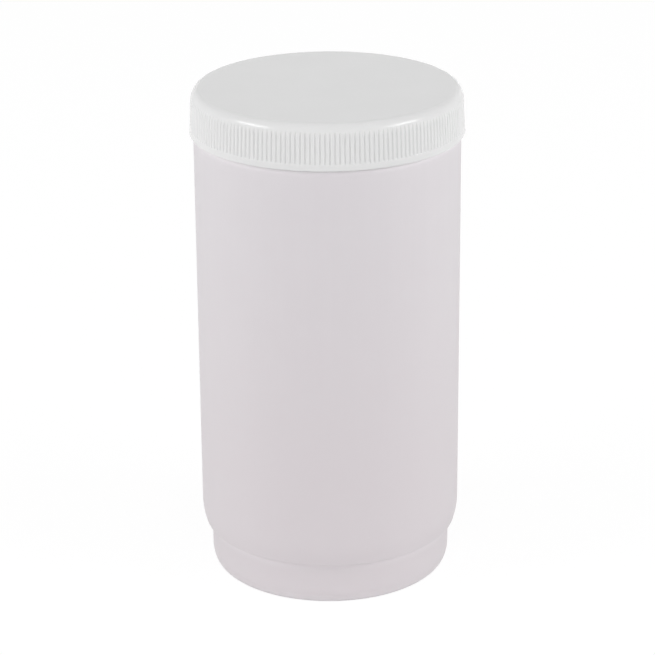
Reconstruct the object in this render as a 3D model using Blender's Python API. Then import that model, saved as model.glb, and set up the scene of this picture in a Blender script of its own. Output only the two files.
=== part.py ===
"""Wide-mouth laboratory bottle: blow-moulded body, ribbed screw cap and its sealing disc.

Units are metres, +Z is up, and the bottle stands on z = 0 with its axis on the Z axis.
"""
import bpy
import bmesh
from math import acos, asin, cos, pi, sin, sqrt

# ---- neck finish: the sizes that the body and the cap share ----
NECK_RADIUS = 0.0428          # outside of the neck, between its threads
NECK_HEIGHT = 0.0120          # shoulder to rim
NECK_WALL = 0.0018            # wall of the neck
RIM_ROUND = 0.0006            # rounding of the rim's two edges
THREAD_DEPTH = 0.0014         # how far the closure's thread stands out of the neck
THREAD_CLEARANCE = 0.0002     # thread crest to the plain bore of the cap
SEAT_GAP = 0.0003             # modelled gap between pieces that bear on each other

# ---- blow-moulded body ----
SHOULDER_HEIGHT = 0.1559      # top of the shoulder above the table
SHOULDER_WIDTH = 0.0020       # the body stands out past the neck by this much
SHOULDER_ROUND_WIDTH = 0.0010   # radial size of the rounding at the shoulder's outer edge
SHOULDER_ROUND_HEIGHT = 0.0030  # axial size of that rounding
BODY_WALL = 0.0014            # wall of the body and of its base
TAPER_HEIGHT = 0.0075         # height over which the wall curves in above the step
TAPER_RADIUS = 0.0225         # radius of that curve, seen in section
STEP_HEIGHT = 0.0153          # underside of the step above the table
STEP_WIDTH = 0.0020           # the step's overhang past the base ring
STEP_ROUND = 0.0005           # rounding of the step's edge and of its root
STEP_RAMP = 0.0040            # height of the slope that the step makes inside the body
BASE_CORNER_WIDTH = 0.0022    # radial size of the base ring's bottom corner
BASE_CORNER_HEIGHT = 0.0055   # axial size of that corner
FOOT_WIDTH = 0.0017           # flat ring that the bottle stands on
PUSH_UP_RAMP = 0.0030         # width of the steep edge of the push-up
PUSH_UP_EDGE = 0.0016         # its height at the top of that edge
PUSH_UP_HEIGHT = 0.0026       # its height at the middle of the base

# ---- injection-moulded cap ----
CAP_WALL = 0.0017             # skirt wall at its lower edge
CAP_TOP = 0.0016              # thickness of the top plate
CAP_SKIRT_GAP = 0.0003        # shoulder to the skirt's lower edge when screwed down
CAP_DRAFT = 0.0005            # the skirt narrows by this much up to the crown
CROWN_WIDTH = 0.0030          # radial size of the crown's rounding
CROWN_HEIGHT = 0.0050         # axial size of the crown's rounding
LIP_ROUND = 0.0006            # rounding of the skirt's lower edge
BAND_HEIGHT = 0.0019          # plain band between the lower edge and the ribs
RIB_COUNT = 180               # grip ribs round the skirt
RIB_DEPTH = 0.00035           # depth of the grooves between the ribs
RIB_LAND = 0.55               # share of the pitch that a rib's flat crest takes
RIB_RUN_OUT = 0.0003          # height over which a groove runs out into the band

# ---- sealing disc and the recess that holds it ----
LINER_THICKNESS = 0.0012      # foamed disc between the rim and the top plate
LINER_OVERHANG = 0.0004       # the disc reaches past the neck by this much
RECESS_DEPTH = 0.0031         # depth of the recess under the top plate
RECESS_ROUND = 0.0006         # rounding in the recess's corner

# ---- mesh fineness ----
SEGMENTS = 72                 # flats round each turned surface
ARC_STEPS = 4                 # flats on a large rounding
EDGE_STEPS = 2                # flats on a small rounding
SMOOTH_ANGLE = pi / 5         # edges sharper than this stay sharp

# ---- worked out from the values above ----
BODY_RADIUS = NECK_RADIUS + SHOULDER_WIDTH
TAPER_INSET = TAPER_RADIUS - sqrt(TAPER_RADIUS ** 2 - TAPER_HEIGHT ** 2)
BASE_RADIUS = BODY_RADIUS - TAPER_INSET - STEP_WIDTH
RIM_Z = SHOULDER_HEIGHT + NECK_HEIGHT
LINER_Z = RIM_Z + SEAT_GAP
LINER_RADIUS = NECK_RADIUS + LINER_OVERHANG
RECESS_RADIUS = LINER_RADIUS + SEAT_GAP
SKIRT_Z = SHOULDER_HEIGHT + CAP_SKIRT_GAP
CAP_HEIGHT = LINER_Z + LINER_THICKNESS + SEAT_GAP + CAP_TOP - SKIRT_Z
CAP_BORE = NECK_RADIUS + THREAD_DEPTH + THREAD_CLEARANCE
CAP_RADIUS = CAP_BORE + CAP_WALL

# ---- colours (red, green, blue) and gloss ----
BODY_COLOUR = (0.70, 0.67, 0.69)
CAP_COLOUR = (0.80, 0.80, 0.80)
LINER_COLOUR = (0.86, 0.86, 0.84)


def arc(centre, radii, start, end, steps):
    """Points (radius, height) on a quarter ellipse or part of one, from start to end angle."""
    points = []
    for step in range(steps + 1):
        angle = start + (end - start) * step / steps
        points.append((centre[0] + radii[0] * cos(angle), centre[1] + radii[1] * sin(angle)))
    return points


def base_bottom(lift, dome_steps):
    """Underside of the base, from the middle out to the foot ring, raised by lift."""
    foot_inner = BASE_RADIUS - BASE_CORNER_WIDTH - FOOT_WIDTH
    dome_edge = foot_inner - PUSH_UP_RAMP
    dome = PUSH_UP_HEIGHT - PUSH_UP_EDGE
    points = [(0.0, PUSH_UP_HEIGHT + lift)]
    for step in range(1, dome_steps):
        share = step / dome_steps
        points.append((dome_edge * share, PUSH_UP_EDGE + dome * (1 - share ** 2) + lift))
    points.append((dome_edge, PUSH_UP_EDGE + lift))
    points.append((foot_inner, lift))
    return points


def taper_arc(inset, lowest):
    """The curve above the step, from the height lowest up to the straight wall."""
    top = STEP_HEIGHT + TAPER_HEIGHT
    centre = (BODY_RADIUS - TAPER_RADIUS, top)
    radius = TAPER_RADIUS - inset
    return arc(centre, (radius, radius), -asin((top - lowest) / radius), 0.0, ARC_STEPS)


def body_outside():
    """Outer section of the body, from the middle of the base up to the rim."""
    corner = (BASE_RADIUS - BASE_CORNER_WIDTH, BASE_CORNER_HEIGHT)
    edge_round = min(STEP_ROUND, 0.4 * STEP_WIDTH)
    step_edge = BODY_RADIUS - TAPER_INSET
    root = (BASE_RADIUS + edge_round, STEP_HEIGHT - edge_round)
    edge = (step_edge - edge_round, STEP_HEIGHT + edge_round)
    shoulder_size = (min(SHOULDER_ROUND_WIDTH, 0.95 * SHOULDER_WIDTH), SHOULDER_ROUND_HEIGHT)
    shoulder = (BODY_RADIUS - shoulder_size[0], SHOULDER_HEIGHT - shoulder_size[1])
    rim = (NECK_RADIUS - RIM_ROUND, RIM_Z - RIM_ROUND)
    points = base_bottom(0.0, ARC_STEPS)
    points += arc(corner, (BASE_CORNER_WIDTH, BASE_CORNER_HEIGHT), -pi / 2, 0.0, ARC_STEPS)
    points += arc(root, (edge_round, edge_round), pi, pi / 2, EDGE_STEPS)
    points += arc(edge, (edge_round, edge_round), -pi / 2, 0.0, EDGE_STEPS)[:-1]
    points += taper_arc(0.0, STEP_HEIGHT + edge_round)
    points += arc(shoulder, shoulder_size, 0.0, pi / 2, ARC_STEPS)
    points.append((NECK_RADIUS, SHOULDER_HEIGHT))
    points += arc(rim, (RIM_ROUND, RIM_ROUND), 0.0, pi / 2, EDGE_STEPS)
    return points


def body_inside():
    """Inner section of the body, from the rim down to the middle of the base."""
    bore = NECK_RADIUS - NECK_WALL
    rim = (bore + RIM_ROUND, RIM_Z - RIM_ROUND)
    under_shoulder = SHOULDER_HEIGHT - BODY_WALL
    shoulder_edge = max(bore, BODY_RADIUS - SHOULDER_ROUND_WIDTH - BODY_WALL)
    corner = (BASE_RADIUS - BASE_CORNER_WIDTH, BASE_CORNER_HEIGHT)
    corner_size = (BASE_CORNER_WIDTH - BODY_WALL, BASE_CORNER_HEIGHT - BODY_WALL)
    points = arc(rim, (RIM_ROUND, RIM_ROUND), pi / 2, pi, EDGE_STEPS)
    points.append((bore, under_shoulder))
    points.append((shoulder_edge, under_shoulder))
    points.append((BODY_RADIUS - BODY_WALL, SHOULDER_HEIGHT - SHOULDER_ROUND_HEIGHT))
    points += reversed(taper_arc(BODY_WALL, STEP_HEIGHT + STEP_RAMP))
    points.append((BASE_RADIUS - BODY_WALL, STEP_HEIGHT))
    points += arc(corner, corner_size, 0.0, -pi / 2, EDGE_STEPS)
    points += reversed(base_bottom(BODY_WALL, EDGE_STEPS))
    return points


def skirt_radius(height):
    """Outer radius of the drafted skirt at a height above its lower edge."""
    return CAP_RADIUS - CAP_DRAFT * height / (CAP_HEIGHT - CROWN_HEIGHT)


def groove_end_angle():
    """Angle on the crown's rounding at which the grooves run out."""
    return acos(1 - RIB_DEPTH / CROWN_WIDTH)


def cap_crown():
    """Outer section above the ribs, ending at the middle of the top."""
    shoulder = CAP_HEIGHT - CROWN_HEIGHT
    centre = (skirt_radius(shoulder) - CROWN_WIDTH, shoulder)
    points = arc(centre, (CROWN_WIDTH, CROWN_HEIGHT), groove_end_angle(), pi / 2, ARC_STEPS)
    points.append((0.0, CAP_HEIGHT))
    return points[1:]


def cap_inside():
    """Section below the ribs: the plain band, the lower edge and the whole inside."""
    underside = CAP_HEIGHT - CAP_TOP
    recess_mouth = underside - RECESS_DEPTH
    lip = (CAP_RADIUS - LIP_ROUND, LIP_ROUND)
    corner = (RECESS_RADIUS - RECESS_ROUND, underside - RECESS_ROUND)
    step_in = CAP_BORE - RECESS_RADIUS
    points = [(0.0, underside)]
    points += arc(corner, (RECESS_ROUND, RECESS_ROUND), pi / 2, 0.0, EDGE_STEPS)
    points.append((RECESS_RADIUS, recess_mouth))
    points.append((CAP_BORE, recess_mouth - step_in))
    points.append((CAP_BORE, LIP_ROUND / 2))
    points.append((CAP_BORE + LIP_ROUND / 2, 0.0))
    points += arc(lip, (LIP_ROUND, LIP_ROUND), -pi / 2, 0.0, EDGE_STEPS)
    band_top = BAND_HEIGHT - RIB_RUN_OUT
    points.append((skirt_radius(band_top), band_top))
    return points


def liner_section():
    """Section of the sealing disc, from the middle of its underside to that of its top."""
    edge = min(RECESS_ROUND, LINER_THICKNESS / 3)
    return [
        (0.0, 0.0),
        (LINER_RADIUS - edge / 2, 0.0),
        (LINER_RADIUS, edge / 2),
        (LINER_RADIUS, LINER_THICKNESS - edge),
        (LINER_RADIUS - edge, LINER_THICKNESS),
        (0.0, LINER_THICKNESS),
    ]


def spin_section(bm, section):
    """Turn a section of (radius, height) points about Z."""
    verts = [bm.verts.new((radius, 0.0, height)) for radius, height in section]
    edges = [bm.edges.new(pair) for pair in zip(verts, verts[1:])]
    bmesh.ops.spin(
        bm,
        geom=verts + edges,
        cent=(0.0, 0.0, 0.0),
        axis=(0.0, 0.0, 1.0),
        angle=2 * pi,
        steps=SEGMENTS,
        use_merge=True,
    )
    bmesh.ops.remove_doubles(bm, verts=bm.verts, dist=1e-6)


def rib_ring(bm, height, crest, groove):
    """A closed ring round the skirt: each rib has a flat crest and a groove beside it."""
    pitch = 2 * pi / RIB_COUNT
    corners = ((-RIB_LAND / 2, crest), (RIB_LAND / 2, crest), (0.5, groove))
    verts = []
    for rib in range(RIB_COUNT):
        for offset, radius in corners:
            angle = (rib + offset) * pitch
            verts.append(bm.verts.new((radius * cos(angle), radius * sin(angle), height)))
    return [bm.edges.new(pair) for pair in zip(verts, verts[1:] + verts[:1])]


def open_loops(bm):
    """The open edge loops of the skirt: the band's below and the crown's above."""
    middle = CAP_HEIGHT / 2
    below = [edge for edge in bm.edges if edge.is_boundary and edge.verts[0].co.z < middle]
    above = [edge for edge in bm.edges if edge.is_boundary and edge.verts[0].co.z > middle]
    return below, above


def add_ribs(bm):
    """Fill the open band of the skirt with the grip ribs, whose grooves end in the crown."""
    below, above = open_loops(bm)
    low = skirt_radius(BAND_HEIGHT)
    full_z = BAND_HEIGHT + RIB_RUN_OUT
    full = skirt_radius(full_z)
    shoulder_z = CAP_HEIGHT - CROWN_HEIGHT
    shoulder = skirt_radius(shoulder_z)
    end_z = shoulder_z + CROWN_HEIGHT * sin(groove_end_angle())
    end = shoulder - RIB_DEPTH
    rings = [
        below,
        rib_ring(bm, BAND_HEIGHT, low, low),
        rib_ring(bm, full_z, full, full - RIB_DEPTH),
        rib_ring(bm, shoulder_z, shoulder, end),
        rib_ring(bm, end_z, end, end),
        above,
    ]
    for lower, upper in zip(rings, rings[1:]):
        bmesh.ops.bridge_loops(bm, edges=lower + upper)


def make_material(name, colour, roughness):
    """A plain moulded plastic."""
    material = bpy.data.materials.new(name)
    material.use_nodes = True
    shader = material.node_tree.nodes["Principled BSDF"]
    shader.inputs["Base Color"].default_value = (*colour, 1.0)
    shader.inputs["Roughness"].default_value = roughness
    shader.inputs["Metallic"].default_value = 0.0
    return material


def finish_object(bm, name, height, material):
    """Close the mesh, point its faces outwards and stand it on its own origin."""
    bmesh.ops.remove_doubles(bm, verts=bm.verts, dist=1e-6)
    bmesh.ops.recalc_face_normals(bm, faces=bm.faces)
    mesh = bpy.data.meshes.new(name)
    bm.to_mesh(mesh)
    bm.free()
    mesh.materials.append(material)
    mesh.shade_smooth()
    mesh.set_sharp_from_angle(angle=SMOOTH_ANGLE)
    obj = bpy.data.objects.new(name, mesh)
    obj.location = (0.0, 0.0, height)
    bpy.context.scene.collection.objects.link(obj)
    return obj


def make_body():
    """The hollow body with its stepped base, push-up, shoulder and neck."""
    bm = bmesh.new()
    spin_section(bm, body_outside() + body_inside())
    material = make_material("natural_hdpe", BODY_COLOUR, 0.42)
    return finish_object(bm, "bottle_body", 0.0, material)


def make_liner():
    """The sealing disc, whose origin is on the cap's axis."""
    bm = bmesh.new()
    spin_section(bm, liner_section())
    material = make_material("foamed_polyethylene", LINER_COLOUR, 0.80)
    return finish_object(bm, "cap_liner", LINER_Z, material)


def make_cap(liner):
    """The ribbed cap, which turns about the disc and rises with it."""
    bm = bmesh.new()
    spin_section(bm, cap_inside())
    spin_section(bm, cap_crown())
    add_ribs(bm)
    material = make_material("white_polypropylene", CAP_COLOUR, 0.45)
    cap = finish_object(bm, "screw_cap", SKIRT_Z - LINER_Z, material)
    cap.parent = liner
    return cap


def main():
    """Clear the scene and build the three pieces."""
    for obj in list(bpy.data.objects):
        bpy.data.objects.remove(obj, do_unlink=True)
    make_body()
    make_cap(make_liner())
    bpy.context.view_layer.update()


main()
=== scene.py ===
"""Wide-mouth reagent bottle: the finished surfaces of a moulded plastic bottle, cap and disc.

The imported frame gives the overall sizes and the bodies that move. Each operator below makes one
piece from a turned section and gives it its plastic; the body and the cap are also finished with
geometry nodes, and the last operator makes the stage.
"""
from math import asin, cos, pi, radians, sin, sqrt

import bmesh
import bpy
from bpy.props import FloatProperty, FloatVectorProperty, IntProperty, PointerProperty
from bpy.types import Operator, Panel, PropertyGroup
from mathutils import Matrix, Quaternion, Vector


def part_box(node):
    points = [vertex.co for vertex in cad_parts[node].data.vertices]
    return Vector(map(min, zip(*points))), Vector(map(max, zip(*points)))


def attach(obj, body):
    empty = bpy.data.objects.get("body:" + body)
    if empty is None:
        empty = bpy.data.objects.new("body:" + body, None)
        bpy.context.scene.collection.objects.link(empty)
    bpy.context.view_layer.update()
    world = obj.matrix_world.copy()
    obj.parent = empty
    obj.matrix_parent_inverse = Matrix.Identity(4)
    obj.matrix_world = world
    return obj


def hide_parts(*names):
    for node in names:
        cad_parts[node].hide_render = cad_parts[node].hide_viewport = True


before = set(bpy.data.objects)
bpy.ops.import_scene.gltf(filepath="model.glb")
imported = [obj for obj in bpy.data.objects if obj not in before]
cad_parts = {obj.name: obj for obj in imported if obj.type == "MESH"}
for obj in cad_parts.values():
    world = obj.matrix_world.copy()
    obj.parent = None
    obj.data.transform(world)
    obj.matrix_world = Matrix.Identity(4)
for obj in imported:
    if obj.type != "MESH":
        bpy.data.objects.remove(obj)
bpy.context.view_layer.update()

bl_info = {
    "name": "Reagent bottle",
    "version": (1, 0, 0),
    "blender": (4, 5, 0),
    "location": "3D View > Sidebar > Bottle",
    "description": "Makes a wide-mouth plastic reagent bottle with a ribbed screw cap",
    "category": "Add Mesh",
}

MILLIMETRE = 0.001

# ---- fineness of the meshes ----

LARGE_STEPS = 16        # flats on a large rounding
SMALL_STEPS = 6         # flats on a small rounding
EASE_STEPS = 8          # flats on a soft S
CROWN_STEPS = 20        # flats on the cap's crown
LIP_STEPS = 3           # flats on the inner rounding of the cap's lower edge
ROOT_STEPS = 2          # flats on the fillet at the neck's root
WALL_STEPS = 24         # rows of faces up the body's wall
NECK_STEPS = 13         # rows up the neck
SKIRT_STEPS = 8         # rows up the ribs
RUN_OUT_STEPS = 5       # rows over the ribs' run-out
BORE_STEPS = 11         # rows up the cap's bore
RECESS_STEPS = 4        # rows up the recess for the disc
PLATE_STEPS = 12        # rings from the middle of a flat plate to its edge
BODY_SEGMENTS = 288     # flats round the body
CAP_SEGMENTS = 360      # flats round the cap's inside and its top
COLUMNS_PER_RIB = 8     # columns of points that draw one rib
THREAD_SEGMENTS = 180   # points along one turn of a thread
THREAD_ROUND_STEPS = 3  # points on a thread's rounded edge
SMOOTH_ANGLE = radians(40.0)  # an edge that turns by more is sharp
MERGE_DISTANCE = 1e-6   # points closer than this are one

# ---- fits and small shapes ----

RECESS_GAP = 0.3 * MILLIMETRE     # the disc's edge to the wall of its recess
TOP_INSET = 0.5 * MILLIMETRE      # the crown's inner end to the outer ring of the top plate
THREAD_DROP = 1.75 * MILLIMETRE   # the cap's thread lies this far under the neck's
THREAD_RELIEF = 0.1 * MILLIMETRE  # the cap's thread is this much shallower than the neck's
THREAD_BED = 0.5 * MILLIMETRE     # a thread starts this deep inside its wall
THREAD_ROUND = 0.28 * MILLIMETRE  # rounding of a thread's edges
THREAD_RUN_OUT = 0.06             # share of a thread's length over which each end rises
THREAD_TIP = 0.02                 # share of that rise that is there at the very end
FLOOR_GAP = 0.1 * MILLIMETRE      # the floor lies this far under the foot ring

# ---- floor and camera ----

PAPER_RETURN = 0.6    # how bright the lit floor looks by itself, beside a full white
SENSOR_WIDTH = 36.0   # the camera's sensor, in millimetres


# ---- sizes that the frame gives ----

def node_radius(node):
    """Largest radius of a turned frame node."""
    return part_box(node)[1][0]


def node_heights(node):
    """Lowest and highest height of a frame node."""
    low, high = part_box(node)
    return low[2], high[2]


# ---- colours and nodes ----

def srgb(code):
    """Linear red, green, blue and alpha of an sRGB colour such as '#C8C8C8'."""
    channels = [int(code[start:start + 2], 16) / 255 for start in (1, 3, 5)]
    linear = [c / 12.92 if c <= 0.04045 else ((c + 0.055) / 1.055) ** 2.4 for c in channels]
    return (*linear, 1.0)


def add_node(tree, kind, inputs=None, **settings):
    """Add a node; inputs maps socket names or numbers to values or to sockets to link."""
    node = tree.nodes.new(kind)
    for name, value in settings.items():
        setattr(node, name, value)
    for key, value in (inputs or {}).items():
        socket = node.inputs[key]
        if isinstance(value, bpy.types.NodeSocket):
            tree.links.new(value, socket)
        else:
            socket.default_value = value
    return node


def maths(tree, operation, first, second=0.0, third=0.0, clamp=False):
    """The result of one Math node."""
    values = {0: first, 1: second, 2: third}
    node = add_node(tree, "ShaderNodeMath", values, operation=operation, use_clamp=clamp)
    return node.outputs[0]


def xyz(tree, **parts):
    """A vector from its parts X, Y and Z; a part that is left out is 0."""
    return add_node(tree, "ShaderNodeCombineXYZ", parts).outputs[0]


def ramp(tree, value, start, end):
    """Rise from 0 at the start to 1 at the end, with soft ends; the end may lie lower."""
    inputs = {"Value": value, "From Min": start, "From Max": end}
    kind = "SMOOTHSTEP"
    return add_node(tree, "ShaderNodeMapRange", inputs, interpolation_type=kind).outputs[0]


# ---- turned surfaces ----

def arc(centre, radii, start, end, steps):
    """Points (radius, height) along part of an ellipse, from start to end angle."""
    points = []
    for step in range(steps + 1):
        angle = start + (end - start) * step / steps
        points.append((centre[0] + radii[0] * cos(angle), centre[1] + radii[1] * sin(angle)))
    return points


def evenly(first, last, steps):
    """Points on the straight line between two points, without its two ends."""
    points = []
    for step in range(1, steps):
        share = step / steps
        points.append(tuple(a + (b - a) * share for a, b in zip(first, last)))
    return points


def ease(first, last):
    """Points on a soft S from one point to another, which stands upright at both ends."""
    points = []
    for step in range(EASE_STEPS + 1):
        share = step / EASE_STEPS
        across = (1 - cos(pi * share)) / 2
        points.append((
            first[0] + (last[0] - first[0]) * across,
            first[1] + (last[1] - first[1]) * share,
        ))
    return points


def even_angles(count):
    """Angles of count evenly spaced columns."""
    return [2 * pi * column / count for column in range(count)]


def turn_section(bm, section, angles, ridge=None):
    """Turn a section about Z in columns at the given angles, and return the columns.

    ridge gives the extra radius of a point from its angle and its height.
    """
    columns = []
    for angle in angles:
        column = []
        for radius, height in section:
            own = radius + (ridge(angle, height) if ridge else 0.0)
            column.append(bm.verts.new((own * cos(angle), own * sin(angle), height)))
        columns.append(column)
    for left, right in zip(columns, columns[1:] + columns[:1]):
        for corners in zip(left, right, right[1:], left[1:]):
            bm.faces.new(corners)
    return columns


def stitch(bm, fine, coarse):
    """Join a ring of many corners to one of few; both start at the same angle."""
    share = len(fine) // len(coarse)
    for index, corner in enumerate(coarse):
        following = coarse[(index + 1) % len(coarse)]
        run = [fine[(share * index + step) % len(fine)] for step in range(share + 1)]
        bm.faces.new([corner] + run + [following])


def add_object(name, data):
    """A new object of this data, put in the scene."""
    obj = bpy.data.objects.new(name, data)
    bpy.context.scene.collection.objects.link(obj)
    return obj


def close_mesh(bm, name):
    """Merge doubles, point the faces outwards and make an object of the mesh."""
    bmesh.ops.remove_doubles(bm, verts=bm.verts, dist=MERGE_DISTANCE)
    bmesh.ops.recalc_face_normals(bm, faces=bm.faces)
    mesh = bpy.data.meshes.new(name)
    bm.to_mesh(mesh)
    bm.free()
    return add_object(name, mesh)


def realise(obj):
    """Turn an object's modifiers into a plain mesh, smooth but for its sharp edges."""
    depsgraph = bpy.context.evaluated_depsgraph_get()
    mesh = bpy.data.meshes.new_from_object(obj.evaluated_get(depsgraph), depsgraph=depsgraph)
    obj.modifiers.clear()
    obj.data = mesh
    mesh.name = obj.name
    mesh.shade_smooth()
    mesh.set_sharp_from_angle(angle=SMOOTH_ANGLE)
    return obj


def add_tree_modifier(obj, tree, values):
    """Put a geometry tree on an object and set its inputs by the names of their sockets."""
    modifier = obj.modifiers.new(tree.name, "NODES")
    modifier.node_group = tree
    for item in tree.interface.items_tree:
        if item.item_type == "SOCKET" and item.in_out == "INPUT" and item.name in values:
            modifier[item.identifier] = values[item.name]


def geometry_tree(name, numbers):
    """A modifier's geometry tree, its inputs and its outputs.

    Besides the geometry it takes the named numbers and the material.
    """
    tree = bpy.data.node_groups.new(name, "GeometryNodeTree")
    tree.is_modifier = True
    sockets = [("Geometry", "INPUT", "Geometry"), ("Material", "INPUT", "Material")]
    sockets += [(label, "INPUT", "Float") for label in numbers]
    sockets.append(("Geometry", "OUTPUT", "Geometry"))
    for label, side, kind in sockets:
        tree.interface.new_socket(name=label, in_out=side, socket_type=f"NodeSocket{kind}")
    source = tree.nodes.new("NodeGroupInput")
    sink = tree.nodes.new("NodeGroupOutput")
    return tree, source.outputs, sink.inputs


def end_tree(tree, geometry, material, sink):
    """End a geometry tree with Realize Instances and Set Material."""
    real = add_node(tree, "GeometryNodeRealizeInstances", {0: geometry})
    done = add_node(tree, "GeometryNodeSetMaterial", {0: real.outputs[0], "Material": material})
    tree.links.new(done.outputs[0], sink[0])


# ---- the geometry trees ----

def thread_tree():
    """A helical thread swept along a spiral and joined to the piece by a union.

    Out of the wall the section is positive, into the bore it is negative.
    """
    tree, given, sink = geometry_tree("Closure thread", (
        "Radius", "Pitch", "Turns", "Start height", "Start angle", "Depth", "Root width",
        "Crest width", "Bed", "Run-out",
    ))
    spiral = add_node(tree, "GeometryNodeCurveSpiral", {
        "Resolution": THREAD_SEGMENTS,
        "Rotations": given["Turns"],
        "Start Radius": given["Radius"],
        "End Radius": given["Radius"],
        "Height": maths(tree, "MULTIPLY", given["Pitch"], given["Turns"]),
        "Reverse": True,
    })
    helix = add_node(tree, "GeometryNodeTransform", {
        "Geometry": spiral.outputs[0],
        "Translation": xyz(tree, Z=given["Start height"]),
        "Rotation": xyz(tree, Z=given["Start angle"]),
    })
    upright = add_node(tree, "GeometryNodeSetCurveNormal", {0: helix.outputs[0]}, mode="Z_UP")
    half_root = maths(tree, "MULTIPLY", given["Root width"], 0.5)
    half_crest = maths(tree, "MULTIPLY", given["Crest width"], 0.5)
    corners = (
        (given["Bed"], half_root),
        (given["Bed"], maths(tree, "MULTIPLY", half_root, -1.0)),
        (given["Depth"], maths(tree, "MULTIPLY", half_crest, -1.0)),
        (given["Depth"], half_crest),
    )
    points = {}
    for index, (out, up) in enumerate(corners, start=1):
        points[f"Point {index}"] = xyz(tree, X=out, Y=up)
    section = add_node(tree, "GeometryNodeCurvePrimitiveQuadrilateral", points, mode="POINTS")
    soft = add_node(tree, "GeometryNodeFilletCurve", {
        "Curve": section.outputs[0],
        "Radius": THREAD_ROUND,
        "Count": THREAD_ROUND_STEPS,
    }, mode="POLY")
    along = add_node(tree, "GeometryNodeSplineParameter").outputs["Factor"]
    to_end = maths(tree, "MINIMUM", along, maths(tree, "SUBTRACT", 1.0, along))
    rise = maths(tree, "DIVIDE", to_end, given["Run-out"], clamp=True)
    scale = maths(tree, "SQRT", maths(tree, "MAXIMUM", rise, THREAD_TIP))
    sweep = add_node(tree, "GeometryNodeCurveToMesh", {
        "Curve": upright.outputs[0],
        "Profile Curve": soft.outputs[0],
        "Scale": scale,
        "Fill Caps": True,
    })
    union = add_node(tree, "GeometryNodeMeshBoolean", operation="UNION", solver="EXACT")
    tree.links.new(sweep.outputs[0], union.inputs["Mesh 2"])
    tree.links.new(given["Geometry"], union.inputs["Mesh 2"])
    end_tree(tree, union.outputs[0], given["Material"], sink)
    return tree


def rib_tree():
    """Grip ribs: soft grooves pressed into the skirt at an even pitch.

    A point may not stand further out than the groove's floor, so the grooves run straight up and
    end by themselves where the crown curves in.
    """
    tree, given, sink = geometry_tree("Grip ribs", (
        "Count", "Depth", "Groove share", "Skirt radius", "Skirt bottom", "Draft per metre",
        "Band top", "Run-out",
    ))
    place = add_node(tree, "ShaderNodeSeparateXYZ", {
        0: add_node(tree, "GeometryNodeInputPosition").outputs[0],
    }).outputs
    angle = maths(tree, "ARCTAN2", place["Y"], place["X"])
    square_x = maths(tree, "MULTIPLY", place["X"], place["X"])
    radius = maths(tree, "SQRT", maths(tree, "MULTIPLY_ADD", place["Y"], place["Y"], square_x))
    pitches = maths(tree, "MULTIPLY", maths(tree, "DIVIDE", angle, 2 * pi), given["Count"])
    phase = maths(tree, "SUBTRACT", maths(tree, "FRACT", pitches), 0.5)
    half = maths(tree, "MULTIPLY", given["Groove share"], 0.5)
    share = maths(tree, "DIVIDE", maths(tree, "ABSOLUTE", phase), half, clamp=True)
    wave = maths(tree, "COSINE", maths(tree, "MULTIPLY", share, pi))
    hollow = maths(tree, "MULTIPLY_ADD", wave, 0.5, 0.5)
    above = maths(tree, "SUBTRACT", place["Z"], given["Band top"])
    fade = ramp(tree, above, 0.0, given["Run-out"])
    cut = maths(tree, "MULTIPLY", maths(tree, "MULTIPLY", hollow, fade), given["Depth"])
    height = maths(tree, "SUBTRACT", place["Z"], given["Skirt bottom"])
    narrowing = maths(tree, "MULTIPLY", height, given["Draft per metre"])
    skirt = maths(tree, "SUBTRACT", given["Skirt radius"], narrowing)
    floor = maths(tree, "SUBTRACT", skirt, cut)
    limited = maths(tree, "MINIMUM", radius, floor)
    ratio = maths(tree, "DIVIDE", limited, maths(tree, "MAXIMUM", radius, MILLIMETRE))
    grooved = add_node(tree, "GeometryNodeSetPosition", {
        "Geometry": given["Geometry"],
        "Selection": maths(tree, "GREATER_THAN", above, 0.0),
        "Position": xyz(
            tree,
            X=maths(tree, "MULTIPLY", place["X"], ratio),
            Y=maths(tree, "MULTIPLY", place["Y"], ratio),
            Z=place["Z"],
        ),
    })
    end_tree(tree, grooved.outputs[0], given["Material"], sink)
    return tree


# ---- materials ----

def plastic(name, ior, subsurface, depth, scatter=(1.0, 1.0, 1.0)):
    """A Principled plastic; returns the material, its tree, its shader and object coordinates."""
    material = bpy.data.materials.new(name)
    material.use_nodes = True
    tree = material.node_tree
    shader = tree.nodes["Principled BSDF"]
    shader.inputs["IOR"].default_value = ior
    shader.inputs["Subsurface Weight"].default_value = subsurface
    shader.inputs["Subsurface Radius"].default_value = scatter
    shader.inputs["Subsurface Scale"].default_value = depth
    place = add_node(tree, "ShaderNodeTexCoord").outputs["Object"]
    return material, tree, shader, place


def noise(tree, place, grain, detail=2.0, stretch=(1.0, 1.0, 1.0)):
    """Noise whose features are about grain across, in metres, stretched along the axes."""
    scale = tuple(1.0 / (grain * share) for share in stretch)
    mapped = add_node(tree, "ShaderNodeMapping", {"Vector": place, "Scale": scale})
    inputs = {"Vector": mapped.outputs[0], "Scale": 1.0, "Detail": detail}
    return add_node(tree, "ShaderNodeTexNoise", inputs).outputs[0]


def relief(tree, height, depth, normal=None):
    """A bump whose full height is depth, in metres, laid over another normal."""
    inputs = {"Height": height, "Distance": depth, "Strength": 1.0}
    if normal is not None:
        inputs["Normal"] = normal
    return add_node(tree, "ShaderNodeBump", inputs).outputs[0]


def between(tree, factor, first, second):
    """A colour between two others, each a linear colour or a socket."""
    inputs = {"Factor": factor, "A": first, "B": second}
    return add_node(tree, "ShaderNodeMix", inputs, data_type="RGBA").outputs["Result"]


def uneven(tree, shader, cloud, light, dark, smooth, rough):
    """Let one noise vary the shader's colour and its roughness together."""
    tree.links.new(between(tree, cloud, light, dark), shader.inputs["Base Color"])
    spread = maths(tree, "MULTIPLY_ADD", cloud, rough - smooth, smooth)
    tree.links.new(spread, shader.inputs["Roughness"])


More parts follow.
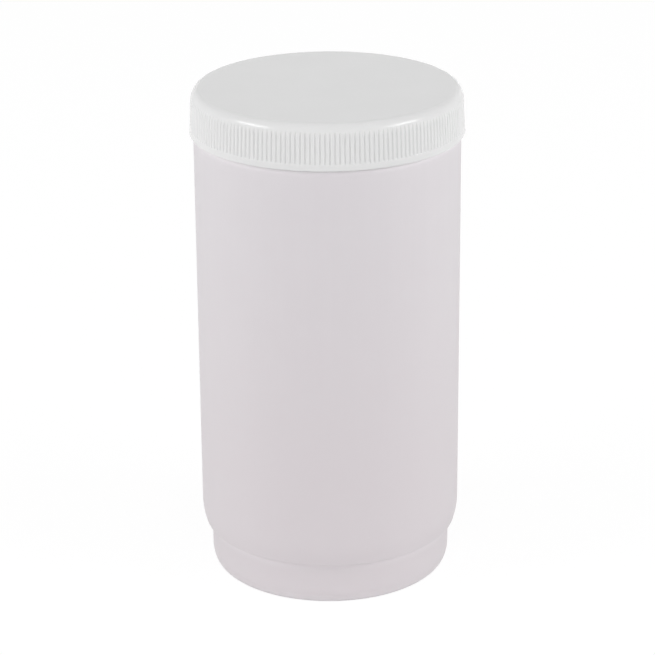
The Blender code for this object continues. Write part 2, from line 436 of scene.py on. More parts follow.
def natural_hdpe(look, shoulder_z):
    """Natural HDPE, blow-moulded.

    It has no pigment: light goes into the wall and comes out some millimetres on, so edges and
    the step look soft. The mould's blasted face leaves a dull, waxy, fine-grained surface,
    cooling leaves slow waves, and drawing the hot tube leaves faint upright streaks. Its colour
    is painted darker towards the base as painted shade, for the dimmer light low down, and
    painted paler at the shoulder, under the step and at the foot as painted light, which fills
    the shade there in place of light coming through the wall.
    """
    material, tree, shader, place = plastic(
        "Natural HDPE, blow-moulded", ior=1.54, subsurface=1.0, depth=look.scatter_depth
    )
    streaks = noise(tree, place, grain=2.4 * MILLIMETRE, stretch=(1.0, 1.0, 40.0))
    clouds = noise(tree, place, grain=19.0 * MILLIMETRE)
    # about a third of the unevenness is streaks, the rest is slow clouds
    tone = maths(tree, "MULTIPLY_ADD", streaks, 0.35, maths(tree, "MULTIPLY", clouds, 0.65))
    height = add_node(tree, "ShaderNodeSeparateXYZ", {0: place}).outputs["Z"]
    # painted shade: a darker colour is painted in towards the base, for the dimmer light low down
    span = {"Value": height, "From Min": look.unshaded_above, "From Max": look.full_shade_below}
    painted_low_shade = add_node(tree, "ShaderNodeMapRange", span).outputs[0]
    # painted light: a paler colour is painted into the shaded band under the shoulder, under the
    # step and at the foot, in place of light coming through the wall
    step, reach = look.step_height, look.glow_reach
    step_glow = maths(tree, "LESS_THAN", height, step)
    step_glow = maths(tree, "MULTIPLY", step_glow, ramp(tree, height, step - reach, step))
    edge = ramp(tree, height, shoulder_z - reach / 2, shoulder_z)
    neck = ramp(tree, height, shoulder_z + reach, shoulder_z)
    foot = maths(tree, "MAXIMUM", step_glow, ramp(tree, height, reach, 0.0))
    foot = maths(tree, "MULTIPLY", foot, look.foot_glow_share)
    painted_glow = maths(tree, "MULTIPLY_ADD", edge, neck, foot, clamp=True)
    light = between(tree, painted_low_shade, look.light_tone, look.low_shade_tone)
    dark = between(tree, painted_low_shade, look.dark_tone, look.low_shade_tone)
    # mix in the painted light in those shaded corners
    light = between(tree, painted_glow, light, look.glow_tone)
    dark = between(tree, painted_glow, dark, look.glow_tone)
    uneven(tree, shader, tone, light, dark, smooth=0.66, rough=0.74)
    cooling = noise(tree, place, grain=24.0 * MILLIMETRE)
    waves = relief(tree, cooling, depth=0.05 * MILLIMETRE)
    drawn = relief(tree, streaks, depth=0.004 * MILLIMETRE, normal=waves)
    # the blasted grain is about 0.1 mm across, too fine to show, so it is drawn at 0.35 mm
    blasted = noise(tree, place, grain=0.35 * MILLIMETRE, detail=1.0)
    surface = relief(tree, blasted, depth=0.006 * MILLIMETRE, normal=drawn)
    tree.links.new(surface, shader.inputs["Normal"])
    return material


def white_polypropylene(look):
    """White polypropylene, injection-moulded.

    The pigment stops light within half a millimetre, so the ribs stay crisp. The steel mould is
    finely eroded, which gives an even satin sheen with a soft bright line on every rounding.
    """
    material, tree, shader, place = plastic(
        "White polypropylene, injection-moulded", ior=1.49, subsurface=1.0,
        depth=look.scatter_depth,
    )
    flow = noise(tree, place, grain=14.0 * MILLIMETRE)
    uneven(tree, shader, flow, look.light_tone, look.dark_tone, smooth=0.14, rough=0.18)
    shrinkage = noise(tree, place, grain=16.0 * MILLIMETRE)
    sunk = relief(tree, shrinkage, depth=0.012 * MILLIMETRE)
    # spark erosion leaves craters of about 0.05 mm, drawn at 0.25 mm so that they show
    craters = noise(tree, place, grain=0.25 * MILLIMETRE, detail=1.0)
    surface = relief(tree, craters, depth=0.004 * MILLIMETRE, normal=sunk)
    tree.links.new(surface, shader.inputs["Normal"])
    return material


def foamed_polyethylene(look):
    """Foamed polyethylene, cut from sheet.

    Closed cells under a thin skin scatter light evenly, so it is a matt off-white with a
    pebbled face and hardly any sheen.
    """
    material, tree, shader, place = plastic(
        "Foamed polyethylene, cut from sheet", ior=1.51, subsurface=0.6,
        depth=look.scatter_depth, scatter=(1.0, 0.95, 0.9),
    )
    patches = noise(tree, place, grain=5.0 * MILLIMETRE)
    uneven(tree, shader, patches, look.light_tone, look.dark_tone, smooth=0.72, rough=0.88)
    # the cells are about 0.2 mm across, drawn at 0.45 mm so that they show
    cells = add_node(tree, "ShaderNodeTexVoronoi", {
        "Vector": place,
        "Scale": 1.0 / (0.45 * MILLIMETRE),
    }, feature="SMOOTH_F1").outputs["Distance"]
    pebbles = relief(tree, cells, depth=0.03 * MILLIMETRE)
    tree.links.new(pebbles, shader.inputs["Normal"])
    return material


def shown_rays(tree):
    """1 for the rays that show a background: from the camera, reflected or let through."""
    rays = add_node(tree, "ShaderNodeLightPath").outputs
    mirrored = maths(tree, "MAXIMUM", rays["Is Glossy Ray"], rays["Is Transmission Ray"])
    return maths(tree, "MAXIMUM", rays["Is Camera Ray"], mirrored)


def glowing(tree, tone, glow):
    """A matt surface of this colour that also glows white."""
    matt = add_node(tree, "ShaderNodeBsdfDiffuse", {"Color": tone}).outputs[0]
    light = add_node(tree, "ShaderNodeEmission", {"Strength": glow}).outputs[0]
    return add_node(tree, "ShaderNodeAddShader", {0: matt, 1: light}).outputs[0]


def floor_paper(look):
    """Matt white paper, rolled.

    It lights the object as plain paper does. To the camera and in reflections it is nearly a
    plain white, with a part left for the object's shadow. From below it lets everything
    through, and a patch right under the foot glows, so that the underside of the object shows.
    """
    material = bpy.data.materials.new("White paper, rolled")
    material.use_nodes = True
    tree = material.node_tree
    tree.nodes.clear()
    place = add_node(tree, "ShaderNodeTexCoord").outputs["Object"]
    fibres = noise(tree, place, grain=20.0 * MILLIMETRE)
    tone = between(tree, fibres, look.paper_light, look.paper_dark)
    away = add_node(tree, "ShaderNodeVectorMath", {0: place}, operation="LENGTH").outputs["Value"]
    patch = maths(tree, "LESS_THAN", away, look.patch_radius)
    patch = maths(tree, "MULTIPLY", patch, look.patch_glow)
    paper = glowing(tree, tone, patch)
    dim = between(tree, look.shadow_share, (0.0, 0.0, 0.0, 1.0), tone)
    seen = glowing(tree, dim, 1.0 - PAPER_RETURN * look.shadow_share)
    top = add_node(tree, "ShaderNodeMixShader", {0: shown_rays(tree), 1: paper, 2: seen})
    below = add_node(tree, "ShaderNodeBsdfTransparent")
    side = add_node(tree, "ShaderNodeNewGeometry").outputs["Backfacing"]
    both = add_node(tree, "ShaderNodeMixShader", {0: side, 1: top.outputs[0], 2: below.outputs[0]})
    add_node(tree, "ShaderNodeOutputMaterial", {"Surface": both.outputs[0]})
    return material


# ---- sizes and colours that a user would change ----

def length(name, description, default):
    """A size in metres."""
    return FloatProperty(
        name=name, description=description, default=default, min=0.0, precision=5,
        subtype="DISTANCE", unit="LENGTH",
    )


def number(name, description, default, low=0.0, high=1.0):
    """A plain number."""
    return FloatProperty(
        name=name, description=description, default=default, min=low, max=high, precision=3
    )


def rotation(name, description, default):
    """An angle in radians, shown in degrees."""
    return FloatProperty(
        name=name, description=description, default=default, subtype="ANGLE", unit="ROTATION"
    )


def colour(name, description, code):
    """A colour given as an sRGB code."""
    return FloatVectorProperty(
        name=name, description=description, default=srgb(code), min=0.0, max=1.0, size=4,
        subtype="COLOR",
    )


class NeckSizes(PropertyGroup):
    """The neck finish: the sizes that the body and the cap share."""
    radius: length("Neck radius", "Outside of the neck, between its threads", 0.0428)
    height: length("Neck height", "Shoulder to rim", 0.0120)
    thread_depth: length("Thread depth", "How far the thread stands out of the neck", 0.0014)
    thread_pitch: length("Thread pitch", "Rise of the thread in one turn", 0.00508)
    thread_turns: number("Thread turns", "How far the thread runs round", 1.06, 0.25, 2.0)
    root_width: length("Root width", "Width of the thread where it leaves the neck", 0.0024)
    crest_width: length("Crest width", "Width of the thread's crest", 0.0012)
    thread_start: length("Thread start", "Shoulder to the middle of the thread's start", 0.0040)


class BodySizes(PropertyGroup):
    """Sizes and colours of the blow-moulded body."""
    wall: length("Wall", "Wall of the body and of its base", 0.0014)
    neck_wall: length("Neck wall", "Wall of the neck", 0.0018)
    rim_round: length("Rim rounding", "Rounding of the rim's two edges", 0.0006)
    shoulder_width: length("Shoulder width", "Radial size of the shoulder's rounding", 0.0010)
    shoulder_height: length("Shoulder height", "Axial size of the shoulder's rounding", 0.0030)
    neck_root: length("Neck root", "Fillet between the shoulder and the neck", 0.0006)
    taper_height: length("Taper height", "The wall curves in over this height", 0.0075)
    taper_radius: length("Taper radius", "Radius of that curve", 0.0225)
    step_height: length("Step height", "Underside of the step above the table", 0.0153)
    step_width: length("Step width", "The step's overhang past the base ring", 0.0020)
    step_round: length("Step rounding", "Rounding of the step's edge and root", 0.0005)
    step_ramp: length("Step ramp", "Height of the slope inside the step", 0.0040)
    corner_width: length("Base corner width", "Radial size of the bottom corner", 0.0022)
    corner_height: length("Base corner height", "Axial size of the bottom corner", 0.0055)
    foot_width: length("Foot width", "Flat ring that the bottle stands on", 0.0017)
    ramp: length("Push-up ramp", "Width of the steep edge of the push-up", 0.0030)
    ramp_height: length("Push-up edge", "Height at the top of that edge", 0.0016)
    push_up: length("Push-up height", "Height at the middle of the base", 0.0026)
    seam_width: length("Parting line width", "Width of the mould's parting line", 0.00030)
    seam_height: length("Parting line height", "How far that line stands out", 0.00008)
    scatter_depth: length("Scatter depth", "How far light travels in the plastic", 0.0015)
    light_tone: colour("Light tone", "Lighter streaks of the plastic", "#E4E0E3")
    dark_tone: colour("Dark tone", "Darker streaks of the plastic", "#DEDADD")
    # painted shade: this tone is painted in darker towards the base, for the dimmer light low down
    low_shade_tone: colour("Foot tone", "Where the wall is thickest, near the foot", "#E0DADD")
    # painted light: this paler tone, its share at the foot and its reach are painted into the
    # shaded band under the shoulder, under the step and at the foot
    glow_tone: colour("Corner tone", "Where a corner was blown thin", "#F5F1F4")
    foot_glow_share: number("Foot share", "How thin the foot's corners are beside the shoulder", 0.4)
    glow_reach: length("Corner reach", "Height over which the wall gets thin", 0.0040)
    # heights between which the painted shade towards the base grows to its full strength
    unshaded_above: length("Thin above", "Height above which the wall is thin", 0.150)
    full_shade_below: length("Thick below", "Height below which the wall is thickest", 0.045)


class CapSizes(PropertyGroup):
    """Sizes and colours of the screw cap."""
    wall: length("Wall", "Skirt wall at its lower edge", 0.0017)
    top: length("Top", "Thickness of the top plate", 0.0016)
    draft: length("Draft", "The skirt narrows by this much up to the crown", 0.0005)
    crown_width: length("Crown width", "Radial size of the crown's rounding", 0.0030)
    crown_height: length("Crown height", "Axial size of the crown's rounding", 0.0050)
    lip_round: length("Lip rounding", "Rounding of the skirt's lower edge", 0.0002)
    band: length("Band", "Plain band between the lower edge and the ribs", 0.0019)
    rib_count: IntProperty(name="Ribs", description="Grip ribs", default=180, min=12, max=240)
    rib_depth: length("Rib depth", "Depth of the grooves between the ribs", 0.00035)
    groove_share: number("Groove share", "Share of the pitch that a groove takes", 0.54)
    run_out: length("Run-out", "Height over which a groove runs out into the band", 0.0006)
    recess_depth: length("Recess depth", "Depth of the recess for the disc", 0.0031)
    recess_round: length("Recess rounding", "Rounding in the recess's corner", 0.0006)
    thread_start: length("Thread start", "Lower edge to the middle of the thread's start", 0.0021)
    thread_turns: number("Thread turns", "How far the thread runs round", 1.0, 0.25, 2.0)
    thread_root: length("Thread root", "Width of the thread where it leaves the skirt", 0.0020)
    thread_crest: length("Thread crest", "Width of the thread's crest", 0.0010)
    scatter_depth: length("Scatter depth", "How far light travels in the plastic", 0.0004)
    light_tone: colour("Light tone", "Lighter part of the plastic", "#E8E8E8")
    dark_tone: colour("Dark tone", "Darker part of the plastic", "#E4E4E4")


class DiscSizes(PropertyGroup):
    """Sizes and colours of the sealing disc."""
    edge_round: length("Edge rounding", "Rounding of the cut edge", 0.0003)
    print_depth: length("Imprint depth", "How far the rim has pressed in", 0.00015)
    print_width: length("Imprint width", "Width of the ring that the rim pressed", 0.0018)
    scatter_depth: length("Scatter depth", "How far light travels in the foam", 0.0005)
    light_tone: colour("Light tone", "Lighter part of the foam", "#F0F0EC")
    dark_tone: colour("Dark tone", "Darker part of the foam", "#E6E6E1")


class StageSettings(PropertyGroup):
    """Floor, light and camera."""
    floor_size: length("Floor size", "Side of the floor", 6.0)
    paper_light: colour("Paper light", "Lighter part of the floor", "#EBEBEB")
    paper_dark: colour("Paper dark", "Darker part of the floor", "#E8E8E8")
    shadow_share: number("Shadow share", "How strongly the floor shows the shadow", 0.2)
    patch_radius: length("Patch radius", "Radius of the glowing patch under the foot", 0.0390)
    patch_glow: number("Patch glow", "Strength of the patch under the foot", 0.28, 0.0, 2.0)
    walls: number("Walls", "Light from the tent's walls, level with the object", 1.44, 0.0, 2.0)
    roof: number("Roof", "Light from the tent's roof", 0.30, 0.0, 2.0)
    rear: number("Rear", "Share of the light that is missing behind the object", 0.46)
    lamp_power: number("Lamp power", "Power of each softbox, in watts", 3.6, 0.0, 100.0)
    lamp_azimuth: rotation(
        "Lamp azimuth", "Angle of each softbox from the camera's side", radians(68.0)
    )
    lamp_elevation: rotation("Lamp elevation", "Height angle of each softbox", radians(30.0))
    lamp_distance: length("Lamp distance", "From the object to each softbox", 1.4)
    lamp_width: length("Lamp width", "Level side of each softbox", 0.70)
    lamp_height: length("Lamp height", "Upright side of each softbox", 0.30)
    lens: number("Lens", "Focal length in millimetres", 143.8, 10.0, 1000.0)
    camera_distance: length("Camera distance", "From the object's axis to the camera", 0.9008)
    camera_elevation: rotation("Camera elevation", "Height angle of the camera", radians(21.36))
    camera_roll: rotation("Camera roll", "Turn about the camera's line of sight", -0.0079)
    aim_height: length("Aim height", "Height on the axis that the camera looks at", 0.0850)
    aim_side: length("Aim side", "How far left of the axis the camera looks", 0.00045)


class BottleSettings(PropertyGroup):
    """All settings of the bottle."""
    neck: PointerProperty(type=NeckSizes, name="Neck", description="Sizes of the neck finish")
    body: PointerProperty(type=BodySizes, name="Body", description="Sizes of the body")
    cap: PointerProperty(type=CapSizes, name="Cap", description="Sizes of the cap")
    disc: PointerProperty(type=DiscSizes, name="Disc", description="Sizes of the disc")
    stage: PointerProperty(type=StageSettings, name="Stage", description="Light and camera")


# ---- the body ----

def base_bottom(sizes, foot_radius, lift):
    """Underside of the base, from the middle out to the foot ring, raised by lift."""
    dome_edge = foot_radius - sizes.foot_width - sizes.ramp
    dome = sizes.push_up - sizes.ramp_height
    points = []
    for step in range(LARGE_STEPS):
        share = step / LARGE_STEPS
        points.append((dome_edge * share, sizes.ramp_height + dome * (1 - share ** 2) + lift))
    for step in range(SMALL_STEPS + 1):
        share = step / SMALL_STEPS
        eased = (1 + cos(pi * share)) / 2
        points.append((dome_edge + sizes.ramp * share, sizes.ramp_height * eased + lift))
    return points


def base_ring_radius(sizes, radius):
    """Radius of the base ring below the step."""
    reach = sqrt(sizes.taper_radius ** 2 - sizes.taper_height ** 2)
    return radius - (sizes.taper_radius - reach) - sizes.step_width


def body_outside(sizes, neck, radius, rim_z):
    """Outer section of the body, from the middle of the base up to the rim."""
    ring = base_ring_radius(sizes, radius)
    shoulder_z = rim_z - neck.height
    soft = sizes.step_round
    corner = (ring - sizes.corner_width, sizes.corner_height)
    corner_size = (sizes.corner_width, sizes.corner_height)
    root = (ring + soft, sizes.step_height - soft)
    taper = (radius - sizes.taper_radius, sizes.step_height + sizes.taper_height)
    own = sizes.taper_radius - soft
    drop = sizes.taper_height - soft
    edge = (taper[0] + sqrt(own ** 2 - drop ** 2), sizes.step_height + soft)
    meeting = -asin(drop / own)
    shoulder = (radius - sizes.shoulder_width, shoulder_z - sizes.shoulder_height)
    shoulder_size = (sizes.shoulder_width, sizes.shoulder_height)
    fillet = (neck.radius + sizes.neck_root, shoulder_z + sizes.neck_root)
    rim = (neck.radius - sizes.rim_round, rim_z - sizes.rim_round)
    points = base_bottom(sizes, corner[0], 0.0)
    points += arc(corner, corner_size, -pi / 2, 0.0, LARGE_STEPS)
    points += arc(root, (soft, soft), pi, pi / 2, SMALL_STEPS)
    points += arc(edge, (soft, soft), -pi / 2, meeting, SMALL_STEPS)
    points += arc(taper, (sizes.taper_radius,) * 2, meeting, 0.0, LARGE_STEPS)[1:]
    points += evenly(points[-1], (radius, shoulder[1]), WALL_STEPS)
    points += arc(shoulder, shoulder_size, 0.0, pi / 2, LARGE_STEPS)
    points += arc(fillet, (sizes.neck_root,) * 2, -pi / 2, -pi, ROOT_STEPS)
    points += evenly(points[-1], (neck.radius, rim[1]), NECK_STEPS)
    points += arc(rim, (sizes.rim_round,) * 2, 0.0, pi / 2, SMALL_STEPS)
    return points


def body_inside(sizes, neck, radius, rim_z):
    """Inner section of the body, from the rim down to the middle of the base."""
    wall = sizes.wall
    ring = base_ring_radius(sizes, radius)
    bore = neck.radius - sizes.neck_wall
    shoulder_z = rim_z - neck.height
    neck_end = shoulder_z - wall
    rim = (bore + sizes.rim_round, rim_z - sizes.rim_round)
    corner = (ring - sizes.corner_width, sizes.corner_height)
    corner_size = (sizes.corner_width - wall, sizes.corner_height - wall)
    taper = (radius - sizes.taper_radius, sizes.step_height + sizes.taper_height)
    own = sizes.taper_radius - wall
    lowest = -asin((sizes.taper_height - sizes.step_ramp) / own)
    points = arc(rim, (sizes.rim_round,) * 2, pi / 2, pi, SMALL_STEPS)
    points += evenly(points[-1], (bore, neck_end), NECK_STEPS)
    points.append((bore, neck_end))
    under_edge = (radius - sizes.shoulder_width - wall, neck_end)
    points += ease(under_edge, (radius - wall, shoulder_z - sizes.shoulder_height))
    points += evenly(points[-1], (radius - wall, taper[1]), WALL_STEPS)
    points += arc(taper, (own, own), 0.0, lowest, SMALL_STEPS)
    points += ease(points[-1], (ring - wall, sizes.step_height))[1:]
    points += arc(corner, corner_size, 0.0, -pi / 2, SMALL_STEPS)
    points += reversed(base_bottom(sizes, corner[0], wall))
    return points


def seam_angles(half_width):
    """Angles of the body's columns, closer together at the two parting lines."""
    angles = set(even_angles(BODY_SEGMENTS))
    for middle in (0.0, pi):
        for share in (-1.0, -0.5, 0.5, 1.0):
            angles.add((middle + share * half_width) % (2 * pi))
    return sorted(angles)


def make_body(settings):
    """The hollow blow-moulded body with its thread and its two parting lines."""
    sizes, neck = settings.body, settings.neck
    radius = node_radius("bottle_body")
    rim_z = node_heights("bottle_body")[1]
    shoulder_z = rim_z - neck.height
    half_seam = sizes.seam_width / 2 / radius

    def parting_line(angle, height):
        """Extra radius on the two parting lines, between the base corner and the shoulder."""
        if not sizes.corner_height / 2 < height < shoulder_z:
            return 0.0
        beside = min(abs(angle - middle) for middle in (0.0, pi, 2 * pi))
        return sizes.seam_height * max(0.0, 1 - beside / half_seam)

    bm = bmesh.new()
    angles = seam_angles(half_seam)
    outside = body_outside(sizes, neck, radius, rim_z)
    inside = body_inside(sizes, neck, radius, rim_z)
    turn_section(bm, outside, angles, parting_line)
    turn_section(bm, outside[-1:] + inside, angles)
    body = close_mesh(bm, "bottle_shell")
    add_tree_modifier(body, thread_tree(), {
        "Radius": neck.radius,
        "Pitch": neck.thread_pitch,
        "Turns": neck.thread_turns,
        "Start height": shoulder_z + neck.thread_start,
        "Start angle": 0.0,
        "Depth": neck.thread_depth,
        "Root width": neck.root_width,
        "Crest width": neck.crest_width,
        "Bed": -THREAD_BED,
        "Run-out": THREAD_RUN_OUT,
        "Material": natural_hdpe(sizes, shoulder_z),
    })
    return realise(body)


# ---- the cap ----

def skirt_radius(sizes, radius, height, cap_height):
    """Outer radius of the drafted skirt at a height above its lower edge."""
    return radius - sizes.draft * height / (cap_height - sizes.crown_height)


def cap_outside(sizes, radius, cap_height):
    """Outer section of the skirt and crown, from the lower edge to the start of the top."""
    lip = (radius - sizes.lip_round, sizes.lip_round)
    shoulder = cap_height - sizes.crown_height
    crown_size = (sizes.crown_width, sizes.crown_height)
    rib_end = sizes.band + sizes.run_out
    points = arc(lip, (sizes.lip_round,) * 2, -pi / 2, 0.0, SMALL_STEPS)
    heights = [(sizes.lip_round + sizes.band) / 2]
    for step in range(RUN_OUT_STEPS):
        heights.append(sizes.band + sizes.run_out * step / RUN_OUT_STEPS)
    for step in range(SKIRT_STEPS):
        heights.append(rib_end + (shoulder - rib_end) * step / SKIRT_STEPS)
    for height in heights:
        points.append((skirt_radius(sizes, radius, height, cap_height), height))
    crown = (skirt_radius(sizes, radius, shoulder, cap_height) - sizes.crown_width, shoulder)
    points += arc(crown, crown_size, 0.0, pi / 2, CROWN_STEPS)
    return points


def cap_inside(sizes, radius, cap_height, recess_radius):
    """Inner section of the cap, from the middle of its underside down to the lower edge."""
    underside = cap_height - sizes.top
    mouth = underside - sizes.recess_depth
    soft = sizes.recess_round
    bore = radius - sizes.wall
    step_in = bore - recess_radius
    corner = (recess_radius - soft, underside - soft)
    edge = sizes.lip_round / 2
    points = [(corner[0] * step / PLATE_STEPS, underside) for step in range(PLATE_STEPS)]
    points += arc(corner, (soft, soft), pi / 2, 0.0, SMALL_STEPS)
    points += evenly(points[-1], (recess_radius, mouth), RECESS_STEPS)
    points += [(recess_radius, mouth), (bore, mouth - step_in)]
    points += evenly(points[-1], (bore, edge), BORE_STEPS)
    points += arc((bore + edge, edge), (edge, edge), pi, 3 * pi / 2, LIP_STEPS)
    return points


def make_cap(settings):
    """The ribbed screw cap with its inner thread and the recess for the disc."""
    sizes, neck = settings.cap, settings.neck
    radius = node_radius("screw_cap")
    low, high = node_heights("screw_cap")
    cap_height = high - low
    shoulder_z = node_heights("bottle_body")[1] - neck.height
    recess_radius = node_radius("cap_liner") + RECESS_GAP
    bm = bmesh.new()
    outside = cap_outside(sizes, radius, cap_height)
    inside = cap_inside(sizes, radius, cap_height, recess_radius)
    flat_edge = outside[-1][0] - TOP_INSET
    top = [(flat_edge * step / PLATE_STEPS, cap_height) for step in range(PLATE_STEPS + 1)]
    skirt = turn_section(bm, outside, even_angles(COLUMNS_PER_RIB * sizes.rib_count))
    hollow = turn_section(bm, inside, even_angles(CAP_SEGMENTS))
    plate = turn_section(bm, top, even_angles(CAP_SEGMENTS))
    stitch(bm, [column[-1] for column in skirt], [column[-1] for column in plate])
    stitch(bm, [column[0] for column in skirt], [column[-1] for column in hollow])
    bmesh.ops.translate(bm, verts=bm.verts, vec=(0.0, 0.0, low))
    cap = close_mesh(bm, "cap_shell")
    material = white_polypropylene(sizes)
    add_tree_modifier(cap, rib_tree(), {
        "Count": float(sizes.rib_count),
        "Depth": sizes.rib_depth,
        "Groove share": sizes.groove_share,
        "Skirt radius": radius,
        "Skirt bottom": low,
        "Draft per metre": sizes.draft / (cap_height - sizes.crown_height),
        "Band top": low + sizes.band,
        "Run-out": sizes.run_out,
        "Material": material,
    })
    thread_z = low + sizes.thread_start
    lead = thread_z - (shoulder_z + neck.thread_start - THREAD_DROP)
    add_tree_modifier(cap, thread_tree(), {
        "Radius": radius - sizes.wall,
        "Pitch": neck.thread_pitch,
        "Turns": sizes.thread_turns,
        "Start height": thread_z,
        "Start angle": 2 * pi * lead / neck.thread_pitch,
        "Depth": THREAD_RELIEF - neck.thread_depth,
        "Root width": sizes.thread_root,
        "Crest width": sizes.thread_crest,
        "Bed": THREAD_BED,
        "Run-out": THREAD_RUN_OUT,
        "Material": material,
    })
    return realise(cap)


# ---- the sealing disc ----

def disc_section(sizes, radius, low, high, rim_middle):
    """Section of the disc, from the middle of its underside to that of its top."""
    soft = sizes.edge_round
    inner = rim_middle - sizes.print_width / 2
    points = [(inner * step / PLATE_STEPS, low) for step in range(PLATE_STEPS)]
    for step in range(SMALL_STEPS * 2 + 1):
        share = step / (SMALL_STEPS * 2)
        across = inner + sizes.print_width * share
        # the fourth power gives the pressed ring a flat floor
        pressed = sizes.print_depth * (1 - (2 * share - 1) ** 4)
        points.append((across, low + pressed))
    points += arc((radius - soft, low + soft), (soft, soft), -pi / 2, 0.0, SMALL_STEPS)
    points += arc((radius - soft, high - soft), (soft, soft), 0.0, pi / 2, SMALL_STEPS)
    points += evenly(points[-1], (0.0, high), PLATE_STEPS)
    points.append((0.0, high))
    return points


def make_disc(settings):
    """The sealing disc with the ring that the rim has pressed into it."""
    sizes = settings.disc
    low, high = node_heights("cap_liner")
    rim_middle = settings.neck.radius - settings.body.neck_wall / 2
    bm = bmesh.new()
    section = disc_section(sizes, node_radius("cap_liner"), low, high, rim_middle)
    turn_section(bm, section, even_angles(BODY_SEGMENTS))
    disc = close_mesh(bm, "sealing_disc")
    disc.data.materials.append(foamed_polyethylene(sizes))
    return realise(disc)


# ---- the stage ----

def make_floor(look):
    """A plain floor just under the object."""
    half = look.floor_size / 2
    bm = bmesh.new()
    corners = ((-half, -half), (half, -half), (half, half), (-half, half))
    bm.faces.new([bm.verts.new((x, y, -FLOOR_GAP)) for x, y in corners])
    floor = close_mesh(bm, "floor")
    floor.data.materials.append(floor_paper(look))
    return floor


def face(obj, aim, azimuth, elevation, distance, roll=0.0):
    """Put a lamp or the camera at a distance from the aim, facing it.

    The azimuth is from the camera's side and the elevation from level.
    """
    level = cos(elevation)
    back = Vector((sin(azimuth) * level, -cos(azimuth) * level, sin(elevation)))
    obj.location = aim + back * distance
    obj.rotation_mode = "QUATERNION"
    rolled = Quaternion((0.0, 0.0, 1.0), roll)
    obj.rotation_quaternion = back.to_track_quat("Z", "Y") @ rolled


def make_lamp(look, name, azimuth, aim):
    """A softbox that faces the object."""
    data = bpy.data.lights.new(name, "AREA")
    data.shape = "RECTANGLE"
    data.size = look.lamp_width
    data.size_y = look.lamp_height
    data.energy = look.lamp_power
    lamp = add_object(name, data)
    face(lamp, aim, azimuth, look.lamp_elevation, look.lamp_distance)


def make_camera(look):
    """The camera at the object's front, a little above it."""
    data = bpy.data.cameras.new("camera")
    data.sensor_width = SENSOR_WIDTH
    data.lens = look.lens
    camera = add_object("camera", data)
    aim = Vector((-look.aim_side, 0.0, look.aim_height))
    face(camera, aim, 0.0, look.camera_elevation, look.camera_distance, look.camera_roll)
    bpy.context.scene.camera = camera


def make_world(look):
    """Soft light from a tent, strongest from its walls, and white behind everything."""
    world = bpy.data.worlds.new("light tent")
    world.use_nodes = True
    tree = world.node_tree
    tree.nodes.clear()
    place = add_node(tree, "ShaderNodeTexCoord").outputs["Generated"]
    aim = add_node(tree, "ShaderNodeSeparateXYZ", {0: place}).outputs
    span = {"Value": aim["Z"], "To Min": look.walls, "To Max": look.roof}
    level = add_node(tree, "ShaderNodeMapRange", span).outputs[0]
    behind = maths(tree, "MAXIMUM", aim["Y"], 0.0)
    tent = maths(tree, "MULTIPLY", level, maths(tree, "MULTIPLY_ADD", behind, -look.rear, 1.0))
    unlit = maths(tree, "SUBTRACT", 1.0, tent)
    glow = add_node(tree, "ShaderNodeBackground", {
        "Color": (1.0, 1.0, 1.0, 1.0),
        "Strength": maths(tree, "MULTIPLY_ADD", shown_rays(tree), unlit, tent),
    })
    add_node(tree, "ShaderNodeOutputWorld", {"Surface": glow.outputs[0]})
    bpy.context.scene.world = world


# ---- operators ----

class BOTTLE_OT_make_body(Operator):
    """Make the blow-moulded body with its threaded neck"""
    bl_idname = "bottle.make_body"
    bl_label = "Make body"

    def execute(self, context):
        body = make_body(context.scene.bottle)
        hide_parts("bottle_body")
        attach(body, "bottle")
        return {"FINISHED"}


class BOTTLE_OT_make_cap(Operator):
    """Make the ribbed screw cap"""
    bl_idname = "bottle.make_cap"
    bl_label = "Make cap"

    def execute(self, context):
        cap = make_cap(context.scene.bottle)
        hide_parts("screw_cap")
        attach(cap, "cap")
        return {"FINISHED"}


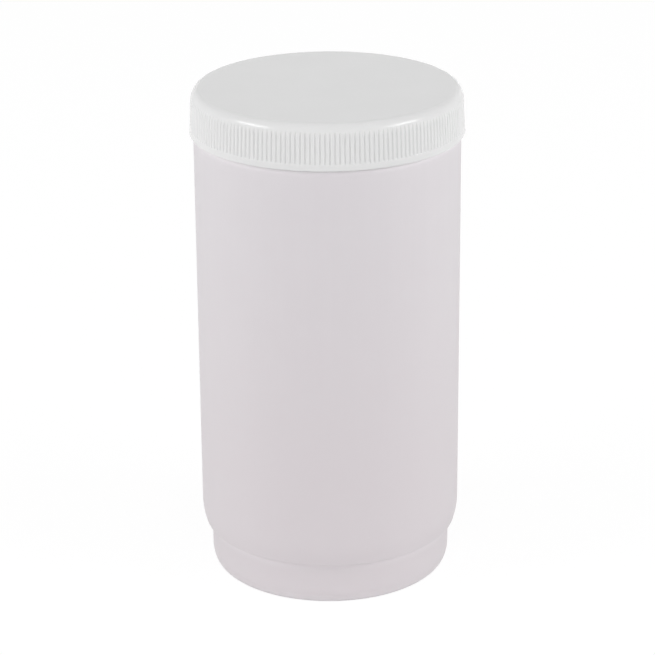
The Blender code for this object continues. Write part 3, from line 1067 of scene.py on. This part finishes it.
class BOTTLE_OT_make_disc(Operator):
    """Make the sealing disc that lies in the cap"""
    bl_idname = "bottle.make_disc"
    bl_label = "Make disc"

    def execute(self, context):
        disc = make_disc(context.scene.bottle)
        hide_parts("cap_liner")
        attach(disc, "disc")
        return {"FINISHED"}


class BOTTLE_OT_make_stage(Operator):
    """Make the floor, the softboxes, the light tent and the camera"""
    bl_idname = "bottle.make_stage"
    bl_label = "Make stage"

    def execute(self, context):
        look = context.scene.bottle.stage
        make_floor(look)
        aim = Vector((0.0, 0.0, look.aim_height))
        make_lamp(look, "softbox_left", -look.lamp_azimuth, aim)
        make_lamp(look, "softbox_right", look.lamp_azimuth, aim)
        make_world(look)
        make_camera(look)
        context.scene.view_settings.view_transform = "Standard"
        return {"FINISHED"}


class BOTTLE_PT_panel(Panel):
    """The bottle's settings and the operators that make its pieces"""
    bl_label = "Reagent bottle"
    bl_idname = "BOTTLE_PT_panel"
    bl_space_type = "VIEW_3D"
    bl_region_type = "UI"
    bl_category = "Bottle"

    def draw(self, context):
        settings = context.scene.bottle
        groups = (
            (settings.neck, None),
            (settings.body, BOTTLE_OT_make_body),
            (settings.cap, BOTTLE_OT_make_cap),
            (settings.disc, BOTTLE_OT_make_disc),
            (settings.stage, BOTTLE_OT_make_stage),
        )
        for group, operator in groups:
            box = self.layout.box()
            for name in group.__annotations__:
                box.prop(group, name)
            if operator:
                box.operator(operator.bl_idname)


CLASSES = (
    NeckSizes, BodySizes, CapSizes, DiscSizes, StageSettings, BottleSettings,
    BOTTLE_OT_make_body, BOTTLE_OT_make_cap, BOTTLE_OT_make_disc, BOTTLE_OT_make_stage,
    BOTTLE_PT_panel,
)


def register():
    """Register the classes and hang the settings on the scene."""
    for cls in CLASSES:
        bpy.utils.register_class(cls)
    bpy.types.Scene.bottle = PointerProperty(type=BottleSettings)


def unregister():
    """Undo register."""
    del bpy.types.Scene.bottle
    for cls in reversed(CLASSES):
        bpy.utils.unregister_class(cls)


def main():
    """Make every piece and the stage."""
    register()
    bpy.ops.bottle.make_body()
    bpy.ops.bottle.make_disc()
    bpy.ops.bottle.make_cap()
    bpy.ops.bottle.make_stage()


if __name__ == "__main__":
    main()
